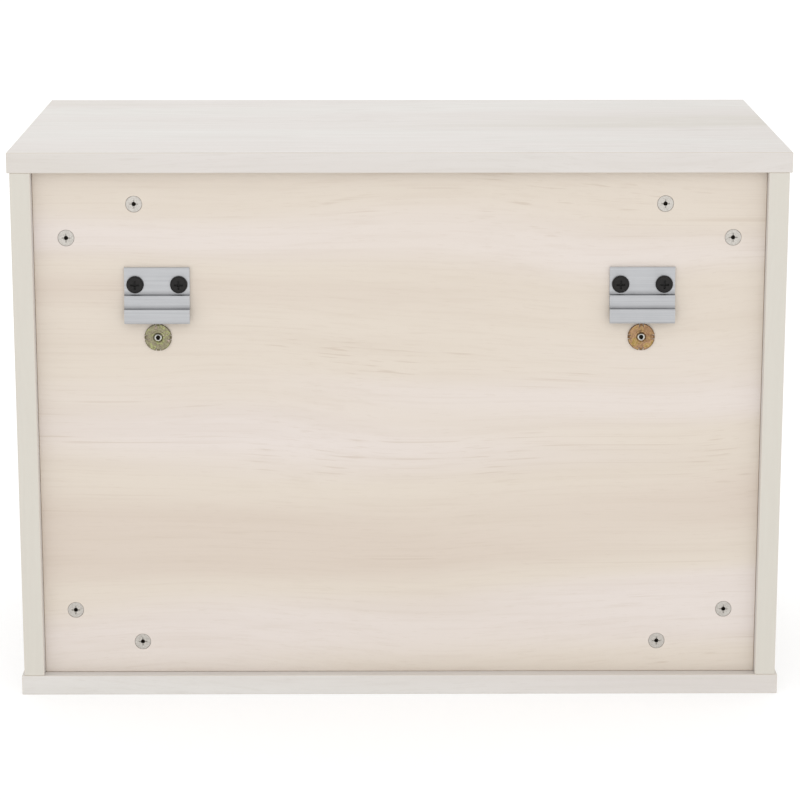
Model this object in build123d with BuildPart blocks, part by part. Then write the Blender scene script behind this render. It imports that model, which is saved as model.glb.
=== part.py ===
"""Wall-hung wooden toy box with a drop-down front, in millimetres.

The frame: +Z is up, -Y is the front where the flap opens, +Y is the side that hangs on the wall, and the
origin is the middle of the underside. Left and right are those of a person facing the front, so left is -X.

The case is five melamine-faced boards. The top and bottom run over the ends of the sides, and the back panel
stands between all four, set in from their rear edges so that the hanging cleats stay inside the recess.
Cam fittings draw the boards together and plain dowels locate them.
"""

from build123d import *
import os

# The case
WIDTH = 570
DEPTH = 300
HEIGHT = 412
BOARD = 15
SIDE_INSET = 2
BACK_RECESS = 9
EDGE_ROUND = 0.6

# The flap, its gaps, and how far its face stands behind the front edges of the case
FLAP_SETBACK = 6
FLAP_GAP_BOTTOM = 3
FLAP_GAP_TOP = 2
FLAP_GAP_BACK = 2
FLAP_SIDE_INSET = 1
NOTCH_WIDTH = 112
NOTCH_DEPTH = 27
NOTCH_CORNER = 13

# Planes and edges that follow from those
FRONT = -DEPTH / 2
REAR = DEPTH / 2
SIDE_OUT = WIDTH / 2 - SIDE_INSET
SIDE_IN = SIDE_OUT - BOARD
SHELF_TOP = BOARD
CEILING = HEIGHT - BOARD
PANEL_REAR = REAR - BACK_RECESS
PANEL_FRONT = PANEL_REAR - BOARD
FLAP_FACE = FRONT + FLAP_SETBACK
FLAP_BACK = FLAP_FACE + BOARD
SIDE_FRONT = FLAP_BACK + FLAP_GAP_BACK
FLAP_BOTTOM = SHELF_TOP + FLAP_GAP_BOTTOM
FLAP_TOP = CEILING - FLAP_GAP_TOP
MID_HEIGHT = HEIGHT / 2

# Cam fittings: a 12 mm cam, its axis 24 mm in from the edge that it draws up
CAM_R = 6.0
CAM_HEIGHT = 10.0
CAM_SETBACK = 24
CAM_POCKET_R = 6.1
CAM_POCKET_DEPTH = 10.5
CAM_CHAMBER_R = 3.8
BOLT_HEAD_R = 3.0
BOLT_NECK_R = 1.6
BOLT_SHANK_R = 3.0
BOLT_CLEARANCE_R = 3.5
BOLT_GRIP = 9.5
CAM_LOCK_ANGLE = 165

# Beech dowels, 20 mm in the edge of one board and 10 mm in the face of the other
DOWEL_R = 4
DOWEL_IN_EDGE = 20
DOWEL_IN_FACE = 10
DOWEL_GAP = 0.3

# Hanging cleats, one near each end of the back panel, and the locking screw under each
CLEAT_X = 178
CLEAT_WIDTH = 48
CLEAT_HEIGHT = 41
CLEAT_BOTTOM = 285.3
CLEAT_SCREW_SPACING = 32
CLEAT_SCREW_Z = CLEAT_BOTTOM + 28.5
CLEAT_HOLE_R = 2.3
FLANGE_THICK = 2.5
STEP_OUT = 5.2
LIP_OUT = 8.0
LIP_IN = 4.6
STEP_TOP = 20.5
LIP_TOP = 10.6
LOCK_Z = 273.8
LOCK_SCREW_R = 3.0
LOCK_SCREW_LENGTH = 16
LOCK_TIP_OUT = 1.8

# Threaded insert with a pronged flange, pressed into the back panel
NUT_FLANGE_R = 10
NUT_FLANGE_THICK = 1.2
NUT_BARREL_R = 3.9
NUT_BARREL_LENGTH = 10
NUT_HOLE_R = 4.0
NUT_BORE_R = 3.06
NUT_RING = 0.4
PRONG_WIDTH = 2.2
PRONG_THICK = 1.2
PRONG_LENGTH = 6
PRONG_IN = NUT_FLANGE_R - 1.4
PRONG_SLIT = 0.7
PRONG_SLIT_REACH = 2.2
PRONG_DROP = 0.6

# Hinges: the pin's axis is just in front of the flap's lower edge
KNUCKLE_R = 2.5
HINGE_LEAF = 1.3
HINGE_LENGTH = 60
HINGE_KNUCKLES = 5
HINGE_X = 190
HINGE_Y = FLAP_FACE - 3
HINGE_Z = SHELF_TOP + KNUCKLE_R + 0.4
HINGE_PIN_R = 1.3
HINGE_BORE_R = 1.35
KNUCKLE_PLAY = 0.4

# Soft-down stays: a parallel linkage, so lever and flap turn together and the link keeps its slope
STAY_FLAP_PIVOT = (28, 120)
STAY_DAMPER_OFFSET = (130, 25)
STAY_PIN_R = 2.5
STAY_HOLE_R = 2.56
LEVER_IN = 16.5
LEVER_THICK = 3.0
LINK_IN = LEVER_IN + LEVER_THICK + 0.8
LINK_THICK = 2.5
STUD_LENGTH = LINK_THICK + 1.6
STUD_CAP = 1.2
STUD_CAP_R = 4.2
FOOT_THICK = 2.5
FOOT_GAP = 3.5
DAMPER_R = 15
DAMPER_DEEP = 14
DAMPER_SHAFT_R = 4.0

# Front cams and the rows of dowels along the case's corners
FRONT_CAM_Y = -100
CORNER_DOWEL_Y = (-70, 20, 105)


def save(part, name):
    part.label = name
    export_step(part, f"parts/{name}.step")


def span(low, high):
    """A box between two corners, as the middle point and the three lengths."""
    middle = tuple((a + b) / 2 for a, b in zip(low, high))
    lengths = tuple(b - a for a, b in zip(low, high))
    return middle, lengths


def along(point, direction, distance):
    return Vector(*point) + Vector(*direction) * distance


def facing(point, direction, x_dir=None):
    """A plane at a point, looking along a direction."""
    return Plane(origin=point, z_dir=direction, x_dir=x_dir)


def turned(plane, angle):
    """The same plane turned about its own normal."""
    return plane.moved(Rotation(0, 0, angle))


# ---------------------------------------------------------------------------------------------------------
# Where the fittings go. A seat is the middle of a cam's face, the face's normal and the way its bolt leaves.


def back_cam_seats():
    seats = {}
    for side, sx in (("left", -1), ("right", 1)):
        x_edge = sx * (SIDE_IN - CAM_SETBACK)
        seats[f"cam_{side}_upper"] = ((x_edge, PANEL_REAR, MID_HEIGHT + 142), (0, 1, 0), (sx, 0, 0))
        seats[f"cam_{side}_lower"] = ((x_edge, PANEL_REAR, MID_HEIGHT - 142), (0, 1, 0), (sx, 0, 0))
        x_row = sx * 194
        seats[f"cam_top_{side}"] = ((x_row, PANEL_REAR, CEILING - CAM_SETBACK), (0, 1, 0), (0, 0, 1))
        seats[f"cam_bottom_{side}"] = ((x_row, PANEL_REAR, SHELF_TOP + CAM_SETBACK), (0, 1, 0), (0, 0, -1))
    return seats


def front_cam_seats():
    seats = {}
    for side, sx in (("left", -1), ("right", 1)):
        inward = (-sx, 0, 0)
        upper = (sx * SIDE_IN, FRONT_CAM_Y, CEILING - CAM_SETBACK)
        lower = (sx * SIDE_IN, FRONT_CAM_Y, SHELF_TOP + CAM_SETBACK)
        seats[f"cam_front_top_{side}"] = (upper, inward, (0, 0, 1))
        seats[f"cam_front_bottom_{side}"] = (lower, inward, (0, 0, -1))
    return seats


def bolt_start(seat):
    """The cam's axis at mid-board, where the bolt's head sits."""
    centre, normal, _ = seat
    return along(centre, normal, -BOARD / 2)


def joint_point(seat):
    """Where the bolt crosses from the cam's board into its neighbour."""
    return along(bolt_start(seat), seat[2], CAM_SETBACK)


def corner_dowels():
    """Dowels between the sides and the top and bottom: the point on the joint and the way into the face."""
    found = []
    for sx in (-1, 1):
        x = sx * (SIDE_IN + BOARD / 2)
        for y in CORNER_DOWEL_Y:
            found.append(((x, y, CEILING), (0, 0, 1)))
            found.append(((x, y, SHELF_TOP), (0, 0, -1)))
    return found


def panel_dowels():
    """Dowels between the back panel's edges and the four boards round it."""
    y = PANEL_FRONT + BOARD / 2
    found = []
    for sign in (-1, 1):
        for z in (MID_HEIGHT - 55, MID_HEIGHT + 55):
            found.append(((sign * SIDE_IN, y, z), (sign, 0, 0)))
        found.append(((sign * 90, y, CEILING), (0, 0, 1)))
        found.append(((sign * 90, y, SHELF_TOP), (0, 0, -1)))
    return found


# ---------------------------------------------------------------------------------------------------------
# Boards


def board(low, high):
    """A board between two corners with its arrises just broken."""
    middle, lengths = span(low, high)
    with BuildPart() as blank:
        with Locations(middle):
            Box(*lengths)
        fillet(blank.edges(), EDGE_ROUND)
    return blank.part


def drill_cam_board(seats):
    """In the board that holds the cams: the cam's pocket, and the bolt's way in from the edge."""
    with Locations(*[facing(centre, normal) for centre, normal, _ in seats]):
        Hole(CAM_POCKET_R, CAM_POCKET_DEPTH)
    with Locations(*[facing(joint_point(seat), seat[2]) for seat in seats]):
        Hole(BOLT_CLEARANCE_R, CAM_SETBACK - CAM_R / 2)


def drill_bolt_board(seats):
    """In the neighbouring board: the blind hole that the bolt is driven into."""
    with Locations(*[facing(joint_point(seat), -Vector(*seat[2])) for seat in seats]):
        Hole(BOLT_SHANK_R, BOLT_GRIP + DOWEL_GAP)


def drill_dowels(dowels, into_face):
    depth = (DOWEL_IN_FACE if into_face else DOWEL_IN_EDGE) + DOWEL_GAP
    turn = -1 if into_face else 1
    with Locations(*[facing(point, Vector(*way) * turn) for point, way in dowels]):
        Hole(DOWEL_R, depth)


def leaves_by(seats, way):
    return [seat for seat in seats.values() if seat[2] == way]


def dowels_by(dowels, way):
    return [dowel for dowel in dowels if dowel[1] == way]


def hinge_places():
    return (-HINGE_X, HINGE_X)


def make_top_board():
    up = (0, 0, 1)
    with BuildPart() as top:
        add(board((-WIDTH / 2, FRONT, CEILING), (WIDTH / 2, REAR, HEIGHT)))
        drill_bolt_board(leaves_by(back_cam_seats(), up) + leaves_by(front_cam_seats(), up))
        drill_dowels(dowels_by(corner_dowels(), up) + dowels_by(panel_dowels(), up), into_face=True)
        with Locations(*[facing((x, CATCH_Y, CEILING), (0, 0, -1)) for x in catch_screw_places()]):
            Hole(CATCH_SCREW_R, CATCH_SCREW_GRIP)
    save(top.part, "top_board")


def make_bottom_board():
    down = (0, 0, -1)
    with BuildPart() as bottom:
        add(board((-WIDTH / 2, FRONT, 0), (WIDTH / 2, REAR, SHELF_TOP)))
        drill_bolt_board(leaves_by(back_cam_seats(), down) + leaves_by(front_cam_seats(), down))
        drill_dowels(dowels_by(corner_dowels(), down) + dowels_by(panel_dowels(), down), into_face=True)
        with Locations(*[facing((x, y, SHELF_TOP), (0, 0, 1)) for x, y in board_leaf_screws()]):
            Hole(HINGE_SCREW_R, HINGE_SCREW_GRIP)
    save(bottom.part, "bottom_board")


def make_side(name, sx):
    outward = (sx, 0, 0)
    near, far = sorted((sx * SIDE_IN, sx * SIDE_OUT))
    front_seats = [seat for seat in front_cam_seats().values() if seat[0][0] * sx > 0]
    own_dowels = [dowel for dowel in corner_dowels() if dowel[0][0] * sx > 0]
    with BuildPart() as side:
        add(board((near, SIDE_FRONT, SHELF_TOP), (far, REAR, CEILING)))
        drill_cam_board(front_seats)
        drill_bolt_board(leaves_by(back_cam_seats(), outward))
        drill_dowels(own_dowels, into_face=False)
        drill_dowels(dowels_by(panel_dowels(), outward), into_face=True)
        with Locations(*[facing((sx * SIDE_IN, y, z), (-sx, 0, 0)) for y, z in damper_screw_places()]):
            Hole(STAY_SCREW_R, STAY_SCREW_GRIP)
    save(side.part, name)


def make_back_panel():
    seats = list(back_cam_seats().values())
    nuts = [facing((x, PANEL_REAR, LOCK_Z), (0, 1, 0)) for x in (-CLEAT_X, CLEAT_X)]
    pilots = [facing((x, PANEL_REAR, CLEAT_SCREW_Z), (0, 1, 0)) for x in cleat_screw_places()]
    with BuildPart() as panel:
        add(board((-SIDE_IN, PANEL_FRONT, SHELF_TOP), (SIDE_IN, PANEL_REAR, CEILING)))
        drill_cam_board(seats)
        drill_dowels(panel_dowels(), into_face=False)
        with Locations(*nuts):
            Hole(NUT_HOLE_R, BOARD)
        with Locations(*[slot for x in (-CLEAT_X, CLEAT_X) for slot in prong_planes(x)]):
            with Locations((PRONG_IN + PRONG_THICK / 2, 0, -PRONG_LENGTH / 2)):
                Box(PRONG_THICK, PRONG_WIDTH, PRONG_LENGTH, mode=Mode.SUBTRACT)
        with Locations(*pilots):
            Hole(CLEAT_SHANK_R, CLEAT_GRIP)
    save(panel.part, "back_panel")


# ---------------------------------------------------------------------------------------------------------
# Cam fittings and dowels

CROSS_SPAN = 6.4
CROSS_WIDTH = 0.9
CROSS_DEPTH = 0.9
CROSS_HUB_R = 1.6
CROSS_HUB_DEPTH = 2.8
CAM_SLOT_LEAD = 32


def cross_recess(plane, length, width, depth, hub_r, hub_depth):
    """Cuts a cross-head driver's recess into a face, with its deeper round middle."""
    with BuildSketch(plane) as cross:
        Rectangle(length, width)
        Rectangle(width, length)
    extrude(cross.sketch, amount=-depth, mode=Mode.SUBTRACT)
    with BuildSketch(plane) as hub:
        Circle(hub_r)
    extrude(hub.sketch, amount=-hub_depth, mode=Mode.SUBTRACT)


def make_cam(name, seat):
    """A die-cast cam. A chamber holds the bolt's head, and a slot round the wall passes its neck.

    The cam is shown locked: the wide mouth that let the head in has turned away from the bolt.
    """
    centre, normal, way = seat
    top = facing(along(centre, normal, -0.1), normal, x_dir=way)
    neck_depth = BOARD / 2 - 0.1
    slot_half = BOLT_NECK_R + 0.3
    mouth_half = BOLT_HEAD_R + 0.4
    with BuildPart() as cam:
        with BuildSketch(top):
            Circle(CAM_R)
        extrude(amount=-CAM_HEIGHT)
        chamfer(cam.edges().filter_by(GeomType.CIRCLE), 0.2)
        with BuildSketch(top.offset(-neck_depth + BOLT_HEAD_R + 0.4)):
            Circle(CAM_CHAMBER_R)
        extrude(amount=-CAM_HEIGHT, mode=Mode.SUBTRACT)
        # The neck's slot runs from just past the bolt back round to the mouth.
        mouth = turned(top, -CAM_LOCK_ANGLE)
        with BuildSketch(Plane(origin=mouth.origin, x_dir=mouth.x_dir, z_dir=-mouth.y_dir)):
            with Locations((CAM_R, -neck_depth)):
                Rectangle(2 * (CAM_R - CAM_CHAMBER_R + 1), 2 * slot_half)
        revolve(
            axis=Axis(top.origin, top.z_dir),
            revolution_arc=CAM_LOCK_ANGLE + CAM_SLOT_LEAD,
            mode=Mode.SUBTRACT,
        )
        with BuildSketch(mouth.offset(-neck_depth + mouth_half)):
            with Locations((CAM_R / 2 + 0.5, 0)):
                Rectangle(CAM_R + 1, 2 * mouth_half)
        extrude(amount=-CAM_HEIGHT, mode=Mode.SUBTRACT)
        cross_recess(top, CROSS_SPAN, CROSS_WIDTH, CROSS_DEPTH, CROSS_HUB_R, CROSS_HUB_DEPTH)
        # A small arrow by the rim points at the mouth.
        with BuildSketch(mouth):
            with Locations((CAM_R - 1.5, 0)):
                Triangle(a=1.6, b=1.6, c=1.6, rotation=-90)
        extrude(amount=-0.3, mode=Mode.SUBTRACT)
    save(cam.part, name)


def bolt_profile(seat):
    """Half of a cam bolt's section, turned about its axis: head, neck, shank and driven end."""
    start = bolt_start(seat)
    way = Vector(*seat[2])
    plane = Plane(origin=start, x_dir=way, z_dir=Vector(*seat[1]))
    grip_end = CAM_SETBACK + BOLT_GRIP
    with BuildSketch(plane) as half:
        with BuildLine():
            Polyline(
                (-1.5, 0),
                (-1.5, BOLT_HEAD_R - 0.7),
                (-0.8, BOLT_HEAD_R),
                (0.8, BOLT_HEAD_R),
                (1.5, BOLT_NECK_R),
                (8.0, BOLT_NECK_R),
                (9.4, BOLT_SHANK_R),
                (grip_end - 1, BOLT_SHANK_R),
                (grip_end, BOLT_SHANK_R - 1),
                (grip_end, 0),
                close=True,
            )
        make_face()
    revolve(half.sketch, axis=Axis(start, way))


def make_cam_bolts(name, seats):
    with BuildPart() as bolts:
        for seat in seats:
            bolt_profile(seat)
    save(bolts.part, name)


def make_dowels(name, dowels):
    with BuildPart() as pegs:
        for point, way in dowels:
            with BuildSketch(facing(along(point, way, -DOWEL_IN_EDGE), way)):
                Circle(DOWEL_R)
            extrude(amount=DOWEL_IN_EDGE + DOWEL_IN_FACE)
        chamfer(pegs.edges().filter_by(GeomType.CIRCLE), 0.8)
    save(pegs.part, name)


# ---------------------------------------------------------------------------------------------------------
# Hanging cleats, their screws, and the locking screws in their inserts

CLEAT_HEAD_R = 6.4
CLEAT_HEAD_HIGH = 3.2
CLEAT_SHANK_R = 2.0
CLEAT_GRIP = 13


def cleat_screw_places():
    half = CLEAT_SCREW_SPACING / 2
    return [x + dx for x in (-CLEAT_X, CLEAT_X) for dx in (-half, half)]


def make_cleat(name, x):
    """An aluminium extrusion: a screw flange, a step, and a lip that hangs clear of the panel."""
    outline = [
        (0, CLEAT_HEIGHT),
        (FLANGE_THICK - 0.6, CLEAT_HEIGHT),
        (FLANGE_THICK, CLEAT_HEIGHT - 0.9),
        (FLANGE_THICK, STEP_TOP + 0.5),
        (STEP_OUT - 0.4, STEP_TOP),
        (STEP_OUT, STEP_TOP - 0.6),
        (STEP_OUT, LIP_TOP + 0.4),
        (LIP_OUT - 0.4, LIP_TOP),
        (LIP_OUT, LIP_TOP - 0.6),
        (LIP_OUT, 1.2),
        (LIP_OUT - 0.6, 0),
        (LIP_IN + 0.9, 0),
        (LIP_IN, 1.6),
        (LIP_IN, 8.4),
        (LIP_IN - 1.5, 11.2),
        (0, 13.0),
    ]
    with BuildPart() as cleat:
        with BuildSketch(Plane.YZ.offset(x - CLEAT_WIDTH / 2)):
            with BuildLine():
                Polyline(*[(PANEL_REAR + y, CLEAT_BOTTOM + z) for y, z in outline], close=True)
            make_face()
        extrude(amount=CLEAT_WIDTH)
        face = PANEL_REAR + FLANGE_THICK
        half = CLEAT_SCREW_SPACING / 2
        with Locations(*[facing((x + dx, face, CLEAT_SCREW_Z), (0, 1, 0)) for dx in (-half, half)]):
            Hole(CLEAT_HOLE_R, FLANGE_THICK + 1)
    save(cleat.part, name)


def make_cleat_screws(name, x):
    """Two black pan-head screws with cross recesses, through the flange into the back panel."""
    half = CLEAT_SCREW_SPACING / 2
    face = PANEL_REAR + FLANGE_THICK
    planes = [facing((x + dx, face, CLEAT_SCREW_Z), (0, 1, 0)) for dx in (-half, half)]
    reach = FLANGE_THICK + CLEAT_GRIP - 0.5
    make_pan_screws(name, planes, CLEAT_SHANK_R, CLEAT_HEAD_R, CLEAT_HEAD_HIGH, reach)


def prong_planes(x):
    """Planes round the insert's rim, each with its first axis pointing outwards at a prong."""
    face = facing((x, PANEL_REAR, LOCK_Z), (0, 1, 0), x_dir=(1, 0, 0))
    return [turned(face, angle) for angle in range(0, 360, 90)]


def make_insert(name, x):
    """A pronged insert: round flange, threaded barrel, and four prongs folded out of the rim."""
    face = facing((x, PANEL_REAR, LOCK_Z), (0, 1, 0))
    with BuildPart() as insert:
        with BuildSketch(face):
            Circle(NUT_FLANGE_R)
        extrude(amount=NUT_FLANGE_THICK)
        fillet(insert.edges().filter_by(GeomType.CIRCLE).group_by(Axis.Y)[-1], 0.4)
        with BuildSketch(face.offset(NUT_FLANGE_THICK)):
            Circle(NUT_BARREL_R + 1.2)
        extrude(amount=NUT_RING)
        fillet(insert.edges().filter_by(GeomType.CIRCLE).group_by(Axis.Y)[-1], 0.3)
        with BuildSketch(face):
            Circle(NUT_BARREL_R)
        extrude(amount=-NUT_BARREL_LENGTH)
        # Two slits free each prong from the rim, and its folded back lies a little below the flange's face.
        slit_y = (PRONG_WIDTH + PRONG_SLIT) / 2
        slit_x = NUT_FLANGE_R - PRONG_SLIT_REACH / 2
        for rim in prong_planes(x):
            with BuildSketch(rim):
                with Locations((slit_x, -slit_y), (slit_x, slit_y)):
                    Rectangle(PRONG_SLIT_REACH + 0.2, PRONG_SLIT)
            extrude(amount=NUT_FLANGE_THICK, mode=Mode.SUBTRACT)
            with BuildSketch(rim.offset(NUT_FLANGE_THICK)):
                with Locations((NUT_FLANGE_R - PRONG_THICK / 2, 0)):
                    Rectangle(PRONG_THICK + 0.4, PRONG_WIDTH)
            extrude(amount=-PRONG_DROP, mode=Mode.SUBTRACT)
            with BuildSketch(Plane(origin=rim.origin, x_dir=rim.y_dir, z_dir=rim.x_dir).offset(PRONG_IN)):
                with BuildLine():
                    half = PRONG_WIDTH / 2
                    Polyline((-half, 0), (half, 0), (0.3, -PRONG_LENGTH), (-0.3, -PRONG_LENGTH), close=True)
                make_face()
            extrude(amount=PRONG_THICK)
        with Locations(face.offset(NUT_FLANGE_THICK + NUT_RING)):
            CounterSinkHole(NUT_BORE_R, NUT_BORE_R + 0.8, NUT_BARREL_LENGTH + 3, counter_sink_angle=90)
    save(insert.part, name)


def make_lock_screw(name, x):
    """A headless M6 screw: hex socket towards the inside of the box, hollow point towards the wall."""
    tip = facing((x, PANEL_REAR + LOCK_TIP_OUT, LOCK_Z), (0, 1, 0))
    with BuildPart() as screw:
        with BuildSketch(tip):
            Circle(LOCK_SCREW_R)
        extrude(amount=-LOCK_SCREW_LENGTH)
        chamfer(screw.edges().filter_by(GeomType.CIRCLE), 0.6)
        with Locations(tip):
            CounterSinkHole(1.55, 1.9, 2.6, counter_sink_angle=90)
        socket = tip.offset(-LOCK_SCREW_LENGTH)
        with BuildSketch(socket):
            RegularPolygon(radius=1.5, side_count=6, major_radius=False)
        extrude(amount=3.5, mode=Mode.SUBTRACT)
    save(screw.part, name)


# ---------------------------------------------------------------------------------------------------------
# Flap, hinges and catches

HINGE_SCREW_R = 1.5
HINGE_SCREW_GRIP = 12
HINGE_SCREW_HEAD_R = 2.7
LEAF_BOARD_END = FLAP_BACK - 1
LEAF_FLAP_END = FLAP_BACK - 1.5
MORTISE_PLAY = 0.2

CATCH_X = 235
CATCH_LENGTH = 34
CATCH_DEEP = 14
CATCH_HIGH = 11
CATCH_Y = SIDE_FRONT - 0.3 + CATCH_DEEP / 2
CATCH_Z = CEILING - CATCH_HIGH / 2
CATCH_SCREW_R = 1.5
CATCH_SCREW_GRIP = 10
STRIKE_R = 8
STRIKE_THICK = 1.2


def catch_screw_places():
    return [sx * CATCH_X + dx for sx in (-1, 1) for dx in (-12, 12)]


def board_leaf_screws():
    y = HINGE_Y + 12
    return [(x + dx, y) for x in hinge_places() for dx in (-22, 0, 22)]


def flap_leaf_screws():
    y = HINGE_Y + 10
    return [(x + dx, y) for x in hinge_places() for dx in (-16, 16)]


def make_hinge_leaves(name, low_z, end_y, first, bore_r, screw_planes):
    """Both hinges' leaves for one side: a plate, and every other knuckle curled out of its front edge."""
    step = HINGE_LENGTH / HINGE_KNUCKLES
    root_y = HINGE_Y + KNUCKLE_R + KNUCKLE_PLAY
    high_z = low_z + HINGE_LEAF
    with BuildPart() as leaves:
        for x in hinge_places():
            start = x - HINGE_LENGTH / 2
            middle, lengths = span((start, root_y, low_z), (start + HINGE_LENGTH, end_y, high_z))
            with Locations(middle):
                Box(*lengths)
            for number in range(first, HINGE_KNUCKLES, 2):
                with BuildSketch(Plane.YZ.offset(start + number * step + KNUCKLE_PLAY / 2)):
                    with Locations((HINGE_Y, HINGE_Z)):
                        Circle(KNUCKLE_R)
                    with Locations(((HINGE_Y + root_y) / 2, (low_z + high_z) / 2)):
                        Rectangle(root_y - HINGE_Y, HINGE_LEAF)
                    with Locations((HINGE_Y, HINGE_Z)):
                        Circle(bore_r, mode=Mode.SUBTRACT)
                extrude(amount=step - KNUCKLE_PLAY)
        with Locations(*screw_planes):
            CounterSinkHole(HINGE_SCREW_R, HINGE_SCREW_HEAD_R, HINGE_LEAF + 1, counter_sink_angle=90)
    save(leaves.part, name)


def make_hinges():
    board_top = SHELF_TOP + HINGE_LEAF
    flap_low = HINGE_Z + KNUCKLE_R - HINGE_LEAF
    board_screws = [facing((x, y, board_top), (0, 0, 1)) for x, y in board_leaf_screws()]
    flap_screws = [facing((x, y, flap_low), (0, 0, -1)) for x, y in flap_leaf_screws()]
    make_hinge_leaves("hinge_leaves_board", SHELF_TOP, LEAF_BOARD_END, 0, HINGE_PIN_R, board_screws)
    make_hinge_leaves("hinge_leaves_flap", flap_low, LEAF_FLAP_END, 1, HINGE_BORE_R, flap_screws)
    with BuildPart() as pins:
        for x in hinge_places():
            with BuildSketch(Plane.YZ.offset(x - HINGE_LENGTH / 2 - 0.3)):
                with Locations((HINGE_Y, HINGE_Z)):
                    Circle(HINGE_PIN_R)
            extrude(amount=HINGE_LENGTH + 0.6)
    save(pins.part, "hinge_pins")
    reach = HINGE_LEAF + HINGE_SCREW_GRIP - 1
    make_flat_screws("hinge_screws_board", board_screws, HINGE_SCREW_R, HINGE_SCREW_HEAD_R, reach)
    make_flat_screws("hinge_screws_flap", flap_screws, HINGE_SCREW_R, HINGE_SCREW_HEAD_R, reach)


def make_flat_screws(name, planes, shank_r, head_r, length):
    """Countersunk screws whose heads lie flush with the given planes."""
    cone = head_r - shank_r
    with BuildPart() as screws:
        for plane in planes:
            section = Plane(origin=plane.origin, x_dir=plane.x_dir, z_dir=-plane.y_dir)
            with BuildSketch(section) as half:
                with BuildLine():
                    Polyline(
                        (0, -0.05),
                        (head_r - 0.05, -0.05),
                        (shank_r, -cone),
                        (shank_r, 2 - length),
                        (0, -length),
                        close=True,
                    )
                make_face()
            revolve(half.sketch, axis=Axis(plane.origin, plane.z_dir))
            cross_recess(plane, head_r, head_r * 0.24, head_r * 0.42, head_r * 0.23, head_r * 0.52)
    save(screws.part, name)


def make_pan_screws(name, planes, shank_r, head_r, head_high, length):
    """Pan-head screws seated on the given planes."""
    with BuildPart() as screws:
        for plane in planes:
            section = Plane(origin=plane.origin, x_dir=plane.x_dir, z_dir=-plane.y_dir)
            with BuildSketch(section) as half:
                with BuildLine():
                    Polyline(
                        (0, head_high),
                        (head_r, head_high),
                        (head_r, 0),
                        (shank_r, 0),
                        (shank_r, 2 - length),
                        (0, -length),
                        close=True,
                    )
                make_face()
                fillet(half.vertices().group_by(Axis.X)[-1].sort_by(Axis.Y)[-1], head_high * 0.7)
            revolve(half.sketch, axis=Axis(plane.origin, plane.z_dir))
            top = plane.offset(head_high)
            cross_recess(top, head_r, head_r * 0.22, head_high * 0.5, head_r * 0.21, head_high * 0.75)
    save(screws.part, name)


def make_flap():
    """The drop-down front: one board with a finger notch in its top edge and mortises for the hinges."""
    half = SIDE_OUT - FLAP_SIDE_INSET
    mid_y = (FLAP_FACE + FLAP_BACK) / 2
    with BuildPart() as flap:
        add(board((-half, FLAP_FACE, FLAP_BOTTOM), (half, FLAP_BACK, FLAP_TOP)))
        with BuildSketch(Plane.XZ.offset(-FLAP_BACK)):
            with BuildLine():
                mouth = NOTCH_WIDTH / 2 + NOTCH_CORNER
                floor = FLAP_TOP - NOTCH_DEPTH
                FilletPolyline(
                    (-mouth, FLAP_TOP),
                    (-NOTCH_WIDTH / 2 - 2, FLAP_TOP),
                    (-NOTCH_WIDTH / 2 + 8, floor),
                    (NOTCH_WIDTH / 2 - 8, floor),
                    (NOTCH_WIDTH / 2 + 2, FLAP_TOP),
                    (mouth, FLAP_TOP),
                    radius=NOTCH_CORNER - 2,
                )
                above = FLAP_TOP + 5
                Polyline((mouth, FLAP_TOP), (mouth, above), (-mouth, above), (-mouth, FLAP_TOP))
            make_face()
        extrude(amount=BOARD, mode=Mode.SUBTRACT)
        for x in hinge_places():
            low = (x - HINGE_LENGTH / 2 - MORTISE_PLAY, FLAP_FACE, FLAP_BOTTOM)
            high = (x + HINGE_LENGTH / 2 + MORTISE_PLAY, LEAF_FLAP_END + MORTISE_PLAY, HINGE_Z + KNUCKLE_R)
            middle, lengths = span(low, high)
            with Locations(middle):
                Box(*lengths, mode=Mode.SUBTRACT)
        with Locations(*[facing((x, y, HINGE_Z + KNUCKLE_R), (0, 0, -1)) for x, y in flap_leaf_screws()]):
            Hole(HINGE_SCREW_R, HINGE_SCREW_GRIP)
        with Locations(*[facing((x, FLAP_BACK, z), (0, 1, 0)) for x, z in bracket_screw_places()]):
            Hole(STAY_SCREW_R, STAY_SCREW_GRIP)
        with Locations(*[facing((sx * CATCH_X, FLAP_BACK, CATCH_Z), (0, 1, 0)) for sx in (-1, 1)]):
            Hole(CATCH_SCREW_R, CATCH_SCREW_GRIP)
    save(flap.part, "front_flap")


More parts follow.
